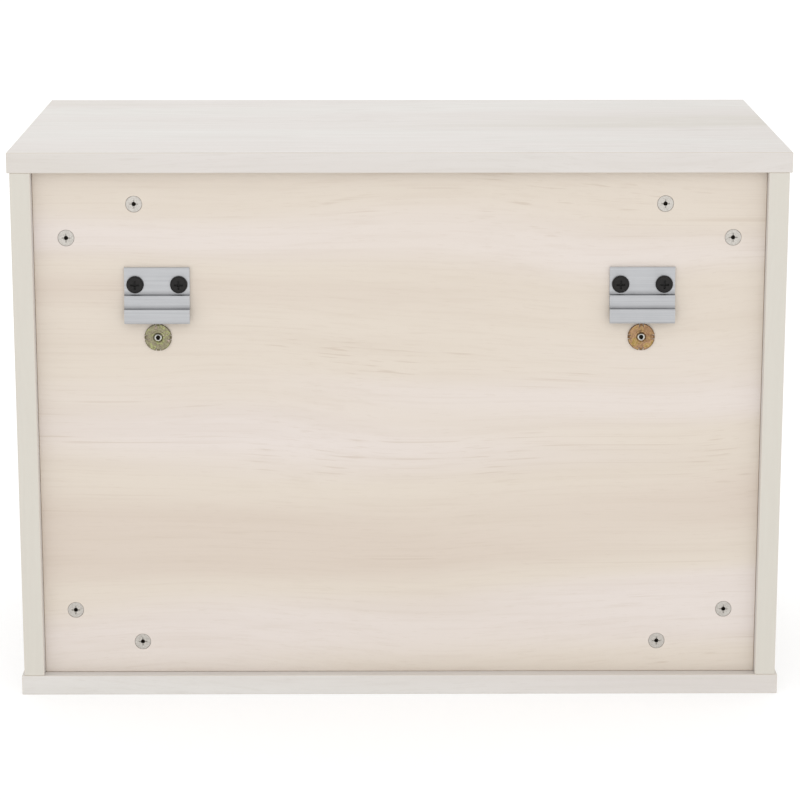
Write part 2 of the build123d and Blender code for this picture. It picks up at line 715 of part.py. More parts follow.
def make_catches():
    """A magnet in a plastic case under the top board at each end, and a steel disc for it on the flap."""
    case_low = CEILING - CATCH_HIGH
    screw_planes = [facing((x, CATCH_Y, case_low), (0, 0, -1)) for x in catch_screw_places()]
    with BuildPart() as cases:
        for sx in (-1, 1):
            with Locations((sx * CATCH_X, CATCH_Y, CATCH_Z)):
                Box(CATCH_LENGTH, CATCH_DEEP, CATCH_HIGH)
        fillet(cases.edges().filter_by(Axis.Z), 2)
        with Locations(*screw_planes):
            CounterSinkHole(CATCH_SCREW_R, 2.9, CATCH_HIGH + 1, counter_sink_angle=90)
        for sx in (-1, 1):
            with Locations((sx * CATCH_X, CATCH_Y - CATCH_DEEP / 2 + 2, CATCH_Z)):
                Box(13, 4, CATCH_HIGH - 3, mode=Mode.SUBTRACT)
    save(cases.part, "catch_cases")
    with BuildPart() as magnets:
        for sx in (-1, 1):
            with Locations((sx * CATCH_X, CATCH_Y - CATCH_DEEP / 2 + 1.9, CATCH_Z)):
                Box(12.8, 4.2, CATCH_HIGH - 3.2)
        chamfer(magnets.edges().filter_by(Axis.Z), 0.3)
    save(magnets.part, "catch_magnets")
    reach = CATCH_HIGH + CATCH_SCREW_GRIP - 1
    make_flat_screws("catch_screws", screw_planes, CATCH_SCREW_R, 2.9, reach)
    strike_face = FLAP_BACK + STRIKE_THICK
    strikes = [facing((sx * CATCH_X, FLAP_BACK, CATCH_Z), (0, 1, 0)) for sx in (-1, 1)]
    with BuildPart() as discs:
        for plane in strikes:
            with BuildSketch(plane):
                Circle(STRIKE_R - 2.8)
            extrude(amount=STRIKE_THICK)
        chamfer(discs.edges().filter_by(GeomType.CIRCLE).group_by(Axis.Y)[-1], 0.3)
        with Locations(*[plane.offset(STRIKE_THICK) for plane in strikes]):
            CounterSinkHole(CATCH_SCREW_R, 2.7, STRIKE_THICK + 1, counter_sink_angle=90)
    save(discs.part, "strike_discs")
    heads = [facing((sx * CATCH_X, strike_face, CATCH_Z), (0, 1, 0)) for sx in (-1, 1)]
    make_flat_screws("strike_screws", heads, CATCH_SCREW_R, 2.7, STRIKE_THICK + CATCH_SCREW_GRIP - 1)


def make_bumpers():
    """Soft pads on the sides' front edges, where the flap's upper corners close."""
    with BuildPart() as pads:
        for sx in (-1, 1):
            x = sx * (SIDE_IN + BOARD / 2)
            for z in (SHELF_TOP + 40, CEILING - 60):
                with BuildSketch(facing((x, SIDE_FRONT, z), (0, -1, 0))):
                    Circle(4)
                extrude(amount=FLAP_GAP_BACK - 0.3)
        fillet(pads.edges().filter_by(GeomType.CIRCLE).group_by(Axis.Y)[0], 1.0)
    save(pads.part, "bumpers")


# ---------------------------------------------------------------------------------------------------------
# Soft-down stays. Offsets are (inwards, up) from the hinge's axis, with the flap closed.

STAY_SCREW_R = 1.6
STAY_SCREW_GRIP = 11
STAY_HEAD_R = 3.4
STAY_HEAD_HIGH = 1.9
BAR_HALF = 6
DAMPER_PLATE = 3


def stay_point(offset):
    """An offset from the hinge's axis, as (y, z)."""
    return HINGE_Y + offset[0], HINGE_Z + offset[1]


def stay_points():
    """The flap's pivot, the damper's shaft, and the elbow between lever and link."""
    flap_pivot = stay_point(STAY_FLAP_PIVOT)
    shaft = stay_point(STAY_DAMPER_OFFSET)
    elbow = stay_point([a + b for a, b in zip(STAY_FLAP_PIVOT, STAY_DAMPER_OFFSET)])
    return flap_pivot, shaft, elbow


def damper_screw_places():
    _, (y, z), _ = stay_points()
    return [(y - 24, z - 4), (y + 24, z - 4), (y, z + 24)]


def bracket_screw_places():
    _, z = stay_points()[0]
    x = SIDE_IN - LEVER_IN + 5.5
    return [(sx * x, z + dz) for sx in (-1, 1) for dz in (-9, 9)]


def layer(sx, depth, thickness):
    """The sketch plane, drawn in (y, z), of a flat part that starts this deep in from the side."""
    face = sx * (SIDE_IN - depth)
    return Plane.YZ.offset(min(face, face - sx * thickness))


def make_damper(side, sx):
    """The damper: a round case on a plate that is screwed to the side."""
    y, z = stay_points()[1]
    wall = sx * SIDE_IN
    heads = [facing((wall - sx * DAMPER_PLATE, *place), (-sx, 0, 0)) for place in damper_screw_places()]
    with BuildPart() as damper:
        with BuildSketch(layer(sx, 0, DAMPER_PLATE)):
            with BuildLine():
                FilletPolyline(
                    (y - 31, z - 11),
                    (y + 31, z - 11),
                    (y + 31, z + 5),
                    (y + 9, z + 31),
                    (y - 9, z + 31),
                    (y - 31, z + 5),
                    radius=5,
                    close=True,
                )
            make_face()
        extrude(amount=DAMPER_PLATE)
        with BuildSketch(layer(sx, 0, DAMPER_DEEP)):
            with Locations((y, z)):
                Circle(DAMPER_R)
        extrude(amount=DAMPER_DEEP)
        rims = damper.edges().filter_by(GeomType.CIRCLE).sort_by(Axis.X)
        fillet(rims[0] if sx > 0 else rims[-1], 1.5)
        with Locations(facing((wall - sx * DAMPER_DEEP, y, z), (-sx, 0, 0))):
            Hole(DAMPER_SHAFT_R + 0.06, DAMPER_DEEP - DAMPER_PLATE)
        with Locations(*heads):
            Hole(STAY_SCREW_R + 0.2, DAMPER_PLATE + 1)
    save(damper.part, f"damper_{side}")
    reach = DAMPER_PLATE + STAY_SCREW_GRIP - 1
    make_pan_screws(f"damper_screws_{side}", heads, STAY_SCREW_R, STAY_HEAD_R, STAY_HEAD_HIGH, reach)


def make_lever(side, sx):
    """The lever on the damper's shaft, with the stud that its outer end carries for the link."""
    _, shaft, elbow = stay_points()
    shaft_length = LEVER_IN + LEVER_THICK + 1.2 - DAMPER_PLATE - 0.5
    with BuildPart() as spindle:
        with BuildSketch(layer(sx, DAMPER_PLATE + 0.5, shaft_length)):
            with Locations(shaft):
                Circle(DAMPER_SHAFT_R)
        extrude(amount=shaft_length)
        rims = spindle.edges().filter_by(GeomType.CIRCLE).sort_by(Axis.X)
        chamfer(rims[0] if sx > 0 else rims[-1], 0.5)
    save(spindle.part, f"damper_shaft_{side}")
    with BuildPart() as lever:
        with BuildSketch(layer(sx, LEVER_IN, LEVER_THICK)):
            with Locations(shaft):
                Circle(BAR_HALF + 3)
            with Locations(elbow):
                Circle(BAR_HALF)
            make_hull()
            with Locations(shaft):
                Circle(DAMPER_SHAFT_R, mode=Mode.SUBTRACT)
        extrude(amount=LEVER_THICK)
        with BuildSketch(layer(sx, LEVER_IN + LEVER_THICK, STUD_LENGTH)):
            with Locations(elbow):
                Circle(STAY_PIN_R)
        extrude(amount=STUD_LENGTH)
        with BuildSketch(layer(sx, LEVER_IN + LEVER_THICK + STUD_LENGTH, STUD_CAP)):
            with Locations(elbow):
                Circle(STUD_CAP_R)
        extrude(amount=STUD_CAP)
    save(lever.part, f"lever_{side}")


def make_link(side, sx):
    flap_pivot, _, elbow = stay_points()
    with BuildPart() as link:
        with BuildSketch(layer(sx, LINK_IN, LINK_THICK)):
            with Locations(flap_pivot, elbow):
                Circle(BAR_HALF)
            make_hull()
            with Locations(flap_pivot, elbow):
                Circle(STAY_HOLE_R, mode=Mode.SUBTRACT)
        extrude(amount=LINK_THICK)
    save(link.part, f"link_{side}")


def make_flap_bracket(side, sx):
    """A foot screwed to the flap, an upright in the lever's plane, and the stud that the link turns on."""
    y, z = stay_points()[0]
    own = [place for place in bracket_screw_places() if place[0] * sx > 0]
    heads = [facing((x, FLAP_BACK + FOOT_THICK, height), (0, 1, 0)) for x, height in own]
    near, far = sorted((sx * (SIDE_IN - LEVER_IN - LEVER_THICK), sx * (SIDE_IN - FOOT_GAP)))
    foot, foot_size = span((near, FLAP_BACK, z - 14), (far, FLAP_BACK + FOOT_THICK, z + 14))
    with BuildPart() as bracket:
        with BuildSketch(layer(sx, LEVER_IN, LEVER_THICK)):
            with BuildLine():
                FilletPolyline(
                    (FLAP_BACK, z - 12),
                    (y + 6, z - 6),
                    (y + 6, z + 6),
                    (FLAP_BACK, z + 12),
                    radius=4.5,
                )
                Line((FLAP_BACK, z + 12), (FLAP_BACK, z - 12))
            make_face()
        extrude(amount=LEVER_THICK)
        with Locations(foot):
            Box(*foot_size)
        with Locations(*heads):
            Hole(STAY_SCREW_R + 0.2, FOOT_THICK + 0.5)
        with BuildSketch(layer(sx, LEVER_IN + LEVER_THICK, STUD_LENGTH)):
            with Locations((y, z)):
                Circle(STAY_PIN_R)
        extrude(amount=STUD_LENGTH)
        with BuildSketch(layer(sx, LEVER_IN + LEVER_THICK + STUD_LENGTH, STUD_CAP)):
            with Locations((y, z)):
                Circle(STUD_CAP_R)
        extrude(amount=STUD_CAP)
    save(bracket.part, f"flap_bracket_{side}")
    reach = FOOT_THICK + STAY_SCREW_GRIP - 1
    make_pan_screws(f"bracket_screws_{side}", heads, STAY_SCREW_R, STAY_HEAD_R, STAY_HEAD_HIGH, reach)


# ---------------------------------------------------------------------------------------------------------

os.makedirs("parts", exist_ok=True)

make_top_board()
make_bottom_board()
make_side("left_side", -1)
make_side("right_side", 1)
make_back_panel()

for cam_name, cam_seat in {**back_cam_seats(), **front_cam_seats()}.items():
    make_cam(cam_name, cam_seat)
make_cam_bolts("back_cam_bolts", back_cam_seats().values())
make_cam_bolts("front_cam_bolts", front_cam_seats().values())
make_dowels("corner_dowels", corner_dowels())
make_dowels("back_panel_dowels", panel_dowels())

for end, end_x in (("left", -CLEAT_X), ("right", CLEAT_X)):
    make_cleat(f"cleat_{end}", end_x)
    make_cleat_screws(f"cleat_screws_{end}", end_x)
    make_insert(f"threaded_insert_{end}", end_x)
    make_lock_screw(f"lock_screw_{end}", end_x)

make_flap()
make_hinges()
make_catches()
make_bumpers()
for end, sign in (("left", -1), ("right", 1)):
    make_damper(end, sign)
    make_lever(end, sign)
    make_link(end, sign)
    make_flap_bracket(end, sign)
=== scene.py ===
"""The looks of a wall-hung wooden toy box with a drop-down front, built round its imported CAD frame.

+Z is up, the flap opens towards -Y, and the +Y side hangs on the wall. Lengths are in metres.
"""

import math

import bpy
from mathutils import Euler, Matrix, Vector


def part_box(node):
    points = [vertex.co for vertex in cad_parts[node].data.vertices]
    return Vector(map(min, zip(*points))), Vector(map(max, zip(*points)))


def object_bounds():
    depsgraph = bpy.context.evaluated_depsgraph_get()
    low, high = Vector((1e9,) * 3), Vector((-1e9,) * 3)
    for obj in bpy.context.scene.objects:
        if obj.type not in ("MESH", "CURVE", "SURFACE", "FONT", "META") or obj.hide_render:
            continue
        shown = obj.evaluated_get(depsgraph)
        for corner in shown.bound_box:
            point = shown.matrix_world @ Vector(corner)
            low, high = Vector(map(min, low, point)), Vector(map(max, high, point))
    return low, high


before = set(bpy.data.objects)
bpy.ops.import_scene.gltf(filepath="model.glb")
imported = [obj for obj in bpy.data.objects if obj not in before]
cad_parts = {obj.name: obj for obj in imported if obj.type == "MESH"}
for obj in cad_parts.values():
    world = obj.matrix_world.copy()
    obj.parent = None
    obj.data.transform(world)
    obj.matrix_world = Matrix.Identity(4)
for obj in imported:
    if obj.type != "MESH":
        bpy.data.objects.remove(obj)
cad_low, cad_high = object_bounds()


# --- Top and bottom boards -------------------------------------------------------------------------------
# Faced board, 15 mm thick, with a printed foil of pale lime-washed ash whose grain runs the box's length.
# Matching tape covers the edges, with its arris just broken. Cam bolts and dowels hold them to the sides.


def paint(red, green, blue):
    """A colour given as on a screen, from 0 to 255, in the shader's own linear light."""
    return tuple(((c / 255 + 0.055) / 1.055) ** 2.4 for c in (red, green, blue)) + (1.0,)


def new_finish(name, roughness, metallic=0.0):
    finish = bpy.data.materials.new(name)
    finish.use_nodes = True
    shader = finish.node_tree.nodes["Principled BSDF"]
    shader.inputs["Roughness"].default_value = roughness
    shader.inputs["Metallic"].default_value = metallic
    return finish, shader


def add(finish, kind, values=(), **settings):
    """Adds a node. A value that is another node's output is linked, and any other is set."""
    made = finish.node_tree.nodes.new(kind)
    for key, setting in settings.items():
        setattr(made, key, setting)
    for socket, value in dict(values).items():
        if isinstance(value, bpy.types.NodeSocket):
            finish.node_tree.links.new(value, made.inputs[socket])
        else:
            made.inputs[socket].default_value = value
    return made


def sum_of(finish, first, second):
    return add(finish, "ShaderNodeMath", {0: first, 1: second}, operation="ADD").outputs[0]


def product(finish, first, second):
    return add(finish, "ShaderNodeMath", {0: first, 1: second}, operation="MULTIPLY").outputs[0]


def noise(finish, vector, stretch, detail=2.0, shift=0.0):
    """Smooth noise from 0 to 1, with its cells per metre along each axis given by stretch."""
    placed = add(
        finish,
        "ShaderNodeMapping",
        {"Vector": vector, "Location": (shift, shift * 0.7, shift * 1.3), "Scale": stretch},
    )
    return add(
        finish,
        "ShaderNodeTexNoise",
        {"Vector": placed.outputs[0], "Scale": 1.0, "Detail": detail, "Roughness": 0.55},
    ).outputs["Fac"]


def between(finish, value, low, high):
    """0 below low, 1 above high, and smooth between."""
    return add(
        finish,
        "ShaderNodeMapRange",
        {"Value": value, "From Min": low, "From Max": high},
        interpolation_type="SMOOTHSTEP",
    ).outputs[0]


def blend_colours(finish, amount, first, second, how="MIX"):
    mixed = add(finish, "ShaderNodeMix", {"Factor": amount}, data_type="RGBA", blend_type=how)
    for socket, colour in ((6, first), (7, second)):
        if isinstance(colour, bpy.types.NodeSocket):
            finish.node_tree.links.new(colour, mixed.inputs[socket])
        else:
            mixed.inputs[socket].default_value = colour
    return mixed.outputs[2]


def roughen(finish, shader, height, strength, depth):
    bumped = add(finish, "ShaderNodeBump", {"Height": height, "Strength": strength, "Distance": depth})
    finish.node_tree.links.new(bumped.outputs[0], shader.inputs["Normal"])


def colour_with(finish, shader, colour):
    finish.node_tree.links.new(colour, shader.inputs["Base Color"])


AXES = "XYZ"


def facing_axis(finish, normal, axis):
    """How squarely a face looks along an axis, either way: 1 when square on."""
    part = add(finish, "ShaderNodeSeparateXYZ", {0: normal}).outputs[AXES.index(axis)]
    return add(finish, "ShaderNodeMath", {0: part}, operation="ABSOLUTE").outputs[0]


def washed_wood(name, grain, cross, tints, streak, arris_and_shade, tape=None, shift=0.0):
    """Lime-washed ash foil. Grain names its long axis, and cross the axis that end edges run along.

    Tints are the pale, middle and warm colours of its broad bands. Tape is the axis that a plainer edge
    tape looks along, and the tape's colour.
    """
    finish, shader = new_finish(name, 0.46)
    shader.inputs["Specular IOR Level"].default_value = 0.2
    where = add(finish, "ShaderNodeTexCoord")
    spot, normal = where.outputs["Object"], where.outputs["Normal"]
    parts = add(finish, "ShaderNodeSeparateXYZ", {0: spot}).outputs
    third = next(a for a in AXES if a not in (grain, cross))
    order = [parts[AXES.index(a)] for a in (grain, cross, third)]
    along = add(finish, "ShaderNodeCombineXYZ", dict(enumerate(order))).outputs[0]
    ends = add(finish, "ShaderNodeCombineXYZ", {0: order[1], 1: order[0], 2: order[2]}).outputs[0]
    is_end = between(finish, facing_axis(finish, normal, grain), 0.6, 0.8)
    path = add(finish, "ShaderNodeMix", {"Factor": is_end, 4: along, 5: ends}, data_type="VECTOR").outputs[1]

    # The bands wander a little, as the rings do in a board that was sawn near the middle of the log.
    drift = noise(finish, path, (3.0, 5.0, 5.0), 1.0, shift + 3.1)
    sway = product(finish, sum_of(finish, drift, -0.5), 0.055)
    swayed = add(finish, "ShaderNodeCombineXYZ", {1: sway, 2: sway}).outputs[0]
    path = add(finish, "ShaderNodeVectorMath", {0: path, 1: swayed}, operation="ADD").outputs[0]

    bands = noise(finish, path, (0.9, 11.0, 11.0), 1.5, shift)
    colour = blend_colours(finish, between(finish, bands, 0.34, 0.52), tints[0], tints[1])
    colour = blend_colours(finish, between(finish, bands, 0.52, 0.68), colour, tints[2])

    # Faint growth rings, the fine lines between them, and short open pores.
    rings = noise(finish, path, (2.0, 64.0, 64.0), 3.0, shift + 1.7)
    lines = noise(finish, path, (7.0, 430.0, 430.0), 2.0, shift + 5.3)
    pores = noise(finish, path, (70.0, 1000.0, 1000.0), 1.0, shift + 8.9)
    colour = blend_colours(finish, product(finish, between(finish, rings, 0.42, 0.7), 0.11), colour, streak)
    colour = blend_colours(finish, product(finish, between(finish, lines, 0.45, 0.75), 0.12), colour, streak)
    colour = blend_colours(finish, product(finish, between(finish, pores, 0.62, 0.74), 0.13), colour, streak)

    # A few long thin darker lines, gathered where the figure is busiest.
    busy = between(finish, noise(finish, path, (1.6, 16.0, 16.0), 1.0, shift + 11.0), 0.45, 0.6)
    dark = between(finish, noise(finish, path, (1.9, 460.0, 460.0), 1.0, shift + 14.0), 0.6, 0.76)
    colour = blend_colours(finish, product(finish, product(finish, busy, dark), 0.4), colour, streak)

    if tape:
        taped = between(finish, facing_axis(finish, normal, tape[0]), 0.8, 0.95)
        plain = blend_colours(finish, product(finish, lines, 0.18), tape[1], streak)
        colour = blend_colours(finish, taped, colour, plain)

    # The board's body just shows where the foil or the tape ends. In the joints this darker arris colour is
    # also painted shade.
    squarest = facing_axis(finish, normal, "X")
    for axis in "YZ":
        pair = {0: squarest, 1: facing_axis(finish, normal, axis)}
        squarest = add(finish, "ShaderNodeMath", pair, operation="MAXIMUM").outputs[0]
    colour = blend_colours(finish, between(finish, squarest, 0.99, 0.9), colour, arris_and_shade)
    colour_with(finish, shader, colour)

    grip = add(
        finish,
        "ShaderNodeMapRange",
        {"Value": lines, "From Min": 0.3, "From Max": 0.7, "To Min": 0.40, "To Max": 0.54},
    )
    finish.node_tree.links.new(grip.outputs[0], shader.inputs["Roughness"])
    roughen(finish, shader, sum_of(finish, lines, product(finish, pores, -0.6)), 0.18, 0.00008)
    return finish


def dress(finish, *nodes):
    for node in nodes:
        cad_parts[node].material_slots[0].material = finish


COOL_TINTS = (paint(211, 208, 204), paint(209, 204, 200), paint(203, 198, 191))
COOL_STREAK = paint(182, 174, 164)
# The arris colour: partly the board's own edge, partly painted shade where it meets the other boards.
FOIL_EDGE_AND_SHADE = paint(203, 196, 185)

dress(washed_wood("washed_ash_top", "X", "Y", COOL_TINTS, COOL_STREAK, FOIL_EDGE_AND_SHADE, shift=2.0), "top_board")
dress(washed_wood("washed_ash_base", "X", "Y", COOL_TINTS, COOL_STREAK, FOIL_EDGE_AND_SHADE, shift=7.4), "bottom_board")


# --- Sides -----------------------------------------------------------------------------------------------
# The same faced board with its grain upright. The edges that show at front and rear have a plainer tape,
# a little greener than the faces. Cams on their inner faces draw them to the top and bottom.

SIDE_TAPE = ("Y", paint(205, 201, 192))

dress(
    washed_wood("washed_ash_left", "Z", "Y", COOL_TINTS, COOL_STREAK, FOIL_EDGE_AND_SHADE, SIDE_TAPE, shift=12.6),
    "left_side",
)
dress(
    washed_wood("washed_ash_right", "Z", "Y", COOL_TINTS, COOL_STREAK, FOIL_EDGE_AND_SHADE, SIDE_TAPE, shift=19.2),
    "right_side",
)


# --- Back panel ------------------------------------------------------------------------------------------
# A board of the same make whose foil is a warmer cream, let in between the other four. Its raw edges show
# as a thin brown line where it meets them, partly real and partly painted shade in the joint. It carries the
# cams, the hanging cleats and the inserts.

WARM_TINTS = (paint(215, 206, 200), paint(211, 201, 189), paint(206, 194, 182))
WARM_STREAK = paint(186, 170, 154)
# The panel's edge colour: partly raw board, partly painted shade in the joint with the other boards.
RAW_EDGE_AND_SHADE = paint(174, 154, 134)

dress(washed_wood("washed_ash_back", "X", "Z", WARM_TINTS, WARM_STREAK, RAW_EDGE_AND_SHADE, shift=4.2), "back_panel")


# --- Cams, cam bolts and dowels --------------------------------------------------------------------------
# The cams are die-cast zinc, grey and slightly pitted. Their colour is painted black down in the driver's
# socket as painted shade. They turn in blind pockets and pull on plated bolts. Plain beech dowels keep the
# boards in line.


def depth_below(finish, spot, axis, face):
    """How far a point lies below a face that looks along an axis, in metres."""
    part = add(finish, "ShaderNodeSeparateXYZ", {0: spot}).outputs[AXES.index(axis)]
    gap = add(finish, "ShaderNodeMath", {0: part, 1: face}, operation="SUBTRACT").outputs[0]
    return add(finish, "ShaderNodeMath", {0: gap}, operation="ABSOLUTE").outputs[0]


def off_axis(finish, spot, centre, axis):
    """How far a point lies from the line through a centre along an axis, in metres."""
    across = [0.0 if a == axis else 1.0 for a in AXES]
    offset = add(finish, "ShaderNodeVectorMath", {0: spot, 1: centre}, operation="SUBTRACT").outputs[0]
    flat = add(finish, "ShaderNodeVectorMath", {0: offset, 1: across}, operation="MULTIPLY").outputs[0]
    return add(finish, "ShaderNodeVectorMath", {0: flat}, operation="LENGTH").outputs["Value"]


def metal(name, colour, mark, roughness, stretch, bump, shift=0.0, socket=None):
    """Bare or plated metal. Stretch is the cells per metre of its tooling marks or casting skin.

    Socket is the axis, face, centre and radius of a bore painted black with depth as shade, and its arms'
    reach.
    """
    finish, shader = new_finish(name, roughness, metallic=1.0)
    where = add(finish, "ShaderNodeTexCoord").outputs["Object"]
    skin = noise(finish, where, stretch, 3.0, shift)
    cloud = noise(finish, where, (60.0, 60.0, 60.0), 2.0, shift + 2.0)
    shade = product(finish, between(finish, skin, 0.3, 0.75), 0.55)
    tone = blend_colours(finish, shade, colour, mark)
    if socket:
        # Painted shade: the colour goes black down the bore, and a little darker in the shallow arms.
        axis, face, centre, bore, arms = socket
        depth = depth_below(finish, where, axis, face)
        radius = off_axis(finish, where, centre, axis)
        in_bore = between(finish, radius, bore + 0.0002, bore)
        in_arms = between(finish, radius, arms + 0.0002, arms)
        shallow_painted_shade = product(finish, in_arms, between(finish, depth, 0.0003, 0.0008))
        deep_painted_shade = product(finish, in_bore, between(finish, depth, 0.0009, 0.0019))
        tone = blend_colours(finish, product(finish, shallow_painted_shade, 0.3), tone, SOCKET_PAINTED_SHADE)
        tone = blend_colours(finish, deep_painted_shade, tone, SOCKET_PAINTED_SHADE)
    colour_with(finish, shader, tone)
    smoothest, dullest = roughness - 0.07, roughness + 0.1
    rough = add(
        finish,
        "ShaderNodeMapRange",
        {"Value": cloud, "From Min": 0.3, "From Max": 0.7, "To Min": smoothest, "To Max": dullest},
    )
    finish.node_tree.links.new(rough.outputs[0], shader.inputs["Roughness"])
    roughen(finish, shader, skin, bump, 0.00006)
    return finish


# The black painted as shade down in the sockets of the cams and the locking screws.
SOCKET_PAINTED_SHADE = paint(30, 27, 22)
CAST_GREY = paint(198, 194, 188)
CAST_PIT = paint(150, 145, 138)
CAST_SKIN = (1100, 1100, 1100)
CAM_BORE = 0.0017
CAM_ARMS = 0.0033
CAST_SHIFT = 3.7
cams = [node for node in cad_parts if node.startswith("cam_")]
for number, node in enumerate(cams):
    cam_low, cam_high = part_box(node)
    if node.startswith("cam_front"):
        axis, face = "X", min(cam_low.x, cam_high.x, key=abs)
    else:
        axis, face = "Y", cam_high.y
    socket = (axis, face, (cam_low + cam_high) / 2, CAM_BORE, CAM_ARMS)
    shift = CAST_SHIFT * number
    dress(metal(f"cast_zinc_{node}", CAST_GREY, CAST_PIT, 0.36, CAST_SKIN, 0.5, shift, socket), node)

BOLT_ZINC = paint(186, 187, 190)
BOLT_MARK = paint(150, 150, 150)
plated_bolt = metal("zinc_plated_bolt", BOLT_ZINC, BOLT_MARK, 0.28, (900, 900, 900), 0.2)
dress(plated_bolt, "back_cam_bolts", "front_cam_bolts")

PALE_BEECH = paint(218, 186, 146)
BEECH_FLECK = paint(190, 150, 110)
beech, beech_shader = new_finish("turned_beech", 0.6)
beech_spot = add(beech, "ShaderNodeTexCoord").outputs["Object"]
beech_flecks = noise(beech, beech_spot, (500, 500, 500), 2.0)
colour_with(beech, beech_shader, blend_colours(beech, beech_flecks, PALE_BEECH, BEECH_FLECK))
roughen(beech, beech_shader, beech_flecks, 0.3, 0.0001)
dress(beech, "corner_dowels", "back_panel_dowels")


# --- Hanging cleats and their screws ---------------------------------------------------------------------
# Each cleat is sawn from an aluminium extrusion, whose die leaves fine lines along its length. Two
# black-coated pan-head screws hold it to the back panel, and its lip hooks over a cleat on the wall.

ALUMINIUM = paint(182, 183, 185)
DIE_LINE = paint(164, 165, 168)
extruded = metal("extruded_aluminium", ALUMINIUM, DIE_LINE, 0.40, (14, 1500, 1500), 0.35)
dress(extruded, "cleat_left", "cleat_right")

# Painted shade: the colour is darker in a band just above each of the two ledges, and fades upwards.
LEDGES = (0.0106, 0.0205)
SHADE_BAND_HEIGHT = 0.0042
SHADE_BAND_STRENGTH = 0.5
LEDGE_PAINTED_SHADE = paint(112, 112, 114)
extruded_shader = extruded.node_tree.nodes["Principled BSDF"]
extruded_tone = extruded_shader.inputs["Base Color"].links[0].from_socket
extruded_spot = add(extruded, "ShaderNodeTexCoord").outputs["Object"]
extruded_height = add(extruded, "ShaderNodeSeparateXYZ", {0: extruded_spot}).outputs["Z"]
for ledge in LEDGES:
    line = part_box("cleat_left")[0].z + ledge
    above = between(extruded, extruded_height, line - 0.0001, line + 0.0001)
    fading = between(extruded, extruded_height, line + SHADE_BAND_HEIGHT, line)
    painted_shade_band = product(extruded, product(extruded, above, fading), SHADE_BAND_STRENGTH)
    extruded_tone = blend_colours(extruded, painted_shade_band, extruded_tone, LEDGE_PAINTED_SHADE)
colour_with(extruded, extruded_shader, extruded_tone)

COAT_BLACK = paint(14, 13, 13)
COAT_WORN = paint(34, 32, 31)
black, black_shader = new_finish("black_coated_steel", 0.42)
black_shader.inputs["Specular IOR Level"].default_value = 0.22
black_spot = add(black, "ShaderNodeTexCoord").outputs["Object"]
black_skin = noise(black, black_spot, (1600, 1600, 1600), 2.0)
colour_with(black, black_shader, blend_colours(black, black_skin, COAT_BLACK, COAT_WORN))
roughen(black, black_shader, black_skin, 0.35, 0.00005)
dress(black, "cleat_screws_left", "cleat_screws_right")


# --- Threaded inserts and locking screws -----------------------------------------------------------------
# The inserts are pressed steel with a yellow passivated plating, which shows patches of gold, green and
# rose. Each holds a bright headless screw that is wound out against the wall cleat.


def passivated(name, node, tones, tarnish_and_shade, shift):
    """Yellow passivated zinc on an insert, whose thin film shows a patch of each tone in turn."""
    finish, shader = new_finish(name, 0.26, metallic=1.0)
    spot = add(finish, "ShaderNodeTexCoord").outputs["Object"]
    film = add(finish, "ShaderNodeValToRGB", {"Fac": noise(finish, spot, (170, 170, 170), 2.5, shift)})
    places = [0.30 + 0.40 * n / (len(tones) - 1) for n in range(len(tones))]
    ends = film.color_ramp.elements
    ends[0].position, ends[0].color = places[0], tones[0]
    ends[1].position, ends[1].color = places[-1], tones[-1]
    for place, tone in list(zip(places, tones))[1:-1]:
        ends.new(place).color = tone
    pressed = noise(finish, spot, (700, 700, 700), 2.0, shift + 2.0)
    dull = product(finish, between(finish, pressed, 0.45, 0.75), 0.5)
    tone = blend_colours(finish, dull, film.outputs[0], tarnish_and_shade)

    # Painted shade: the colour is darker on the rounded rim and in the slits beside the prongs.
    low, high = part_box(node)
    radius = off_axis(finish, spot, (low + high) / 2, "Y")
    outer = between(finish, radius, SLIT_RADIUS - 0.0003, SLIT_RADIUS)
    sunk = between(finish, depth_below(finish, spot, "Y", high.y - RING_HEIGHT), 0.0002, 0.0005)
    rim_shade = product(finish, between(finish, radius, RIM_RADIUS - 0.0005, RIM_RADIUS), 0.75)
    slit_shade = product(finish, product(finish, outer, sunk), 0.7)
    rim_and_slit_shade = add(finish, "ShaderNodeMath", {0: rim_shade, 1: slit_shade}, operation="MAXIMUM").outputs[0]
    colour_with(finish, shader, blend_colours(finish, rim_and_slit_shade, tone, tarnish_and_shade))
    roughen(finish, shader, pressed, 0.5, 0.00008)
    return finish


RIM_RADIUS = 0.0098
SLIT_RADIUS = 0.0077
RING_HEIGHT = 0.0004
OLIVE_FILM = (
    paint(178, 160, 150),
    paint(134, 126, 104),
    paint(150, 146, 118),
    paint(138, 130, 110),
    paint(164, 168, 118),
    paint(132, 124, 98),
    paint(182, 178, 150),
)
COPPER_FILM = (
    paint(134, 106, 78),
    paint(172, 142, 100),
    paint(148, 116, 88),
    paint(174, 140, 108),
    paint(160, 136, 76),
    paint(186, 152, 114),
)
# Each insert's tarnish colour also serves as painted shade on its rim and in its slits.
for node, film_name, tones, tarnish_and_shade, shift in (
    ("threaded_insert_right", "olive_passivated_zinc", OLIVE_FILM, paint(84, 77, 54), 21.0),
    ("threaded_insert_left", "copper_passivated_zinc", COPPER_FILM, paint(88, 62, 38), 17.0),
):
    dress(passivated(film_name, node, tones, tarnish_and_shade, shift), node)

SCREW_BRIGHT = paint(206, 206, 202)
SCREW_MARK = paint(160, 158, 152)
SCREW_SKIN = (900, 900, 900)
TIP_BORE = 0.0016
# Painted shade: each screw's colour goes black down the bore in its tip.
for end in ("left", "right"):
    screw_low, screw_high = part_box(f"lock_screw_{end}")
    socket = ("Y", screw_high.y, (screw_low + screw_high) / 2, TIP_BORE, TIP_BORE)
    name = f"bright_screw_steel_{end}"
    bright_screw = metal(name, SCREW_BRIGHT, SCREW_MARK, 0.22, SCREW_SKIN, 0.2, 0.0, socket)
    dress(bright_screw, f"lock_screw_{end}")


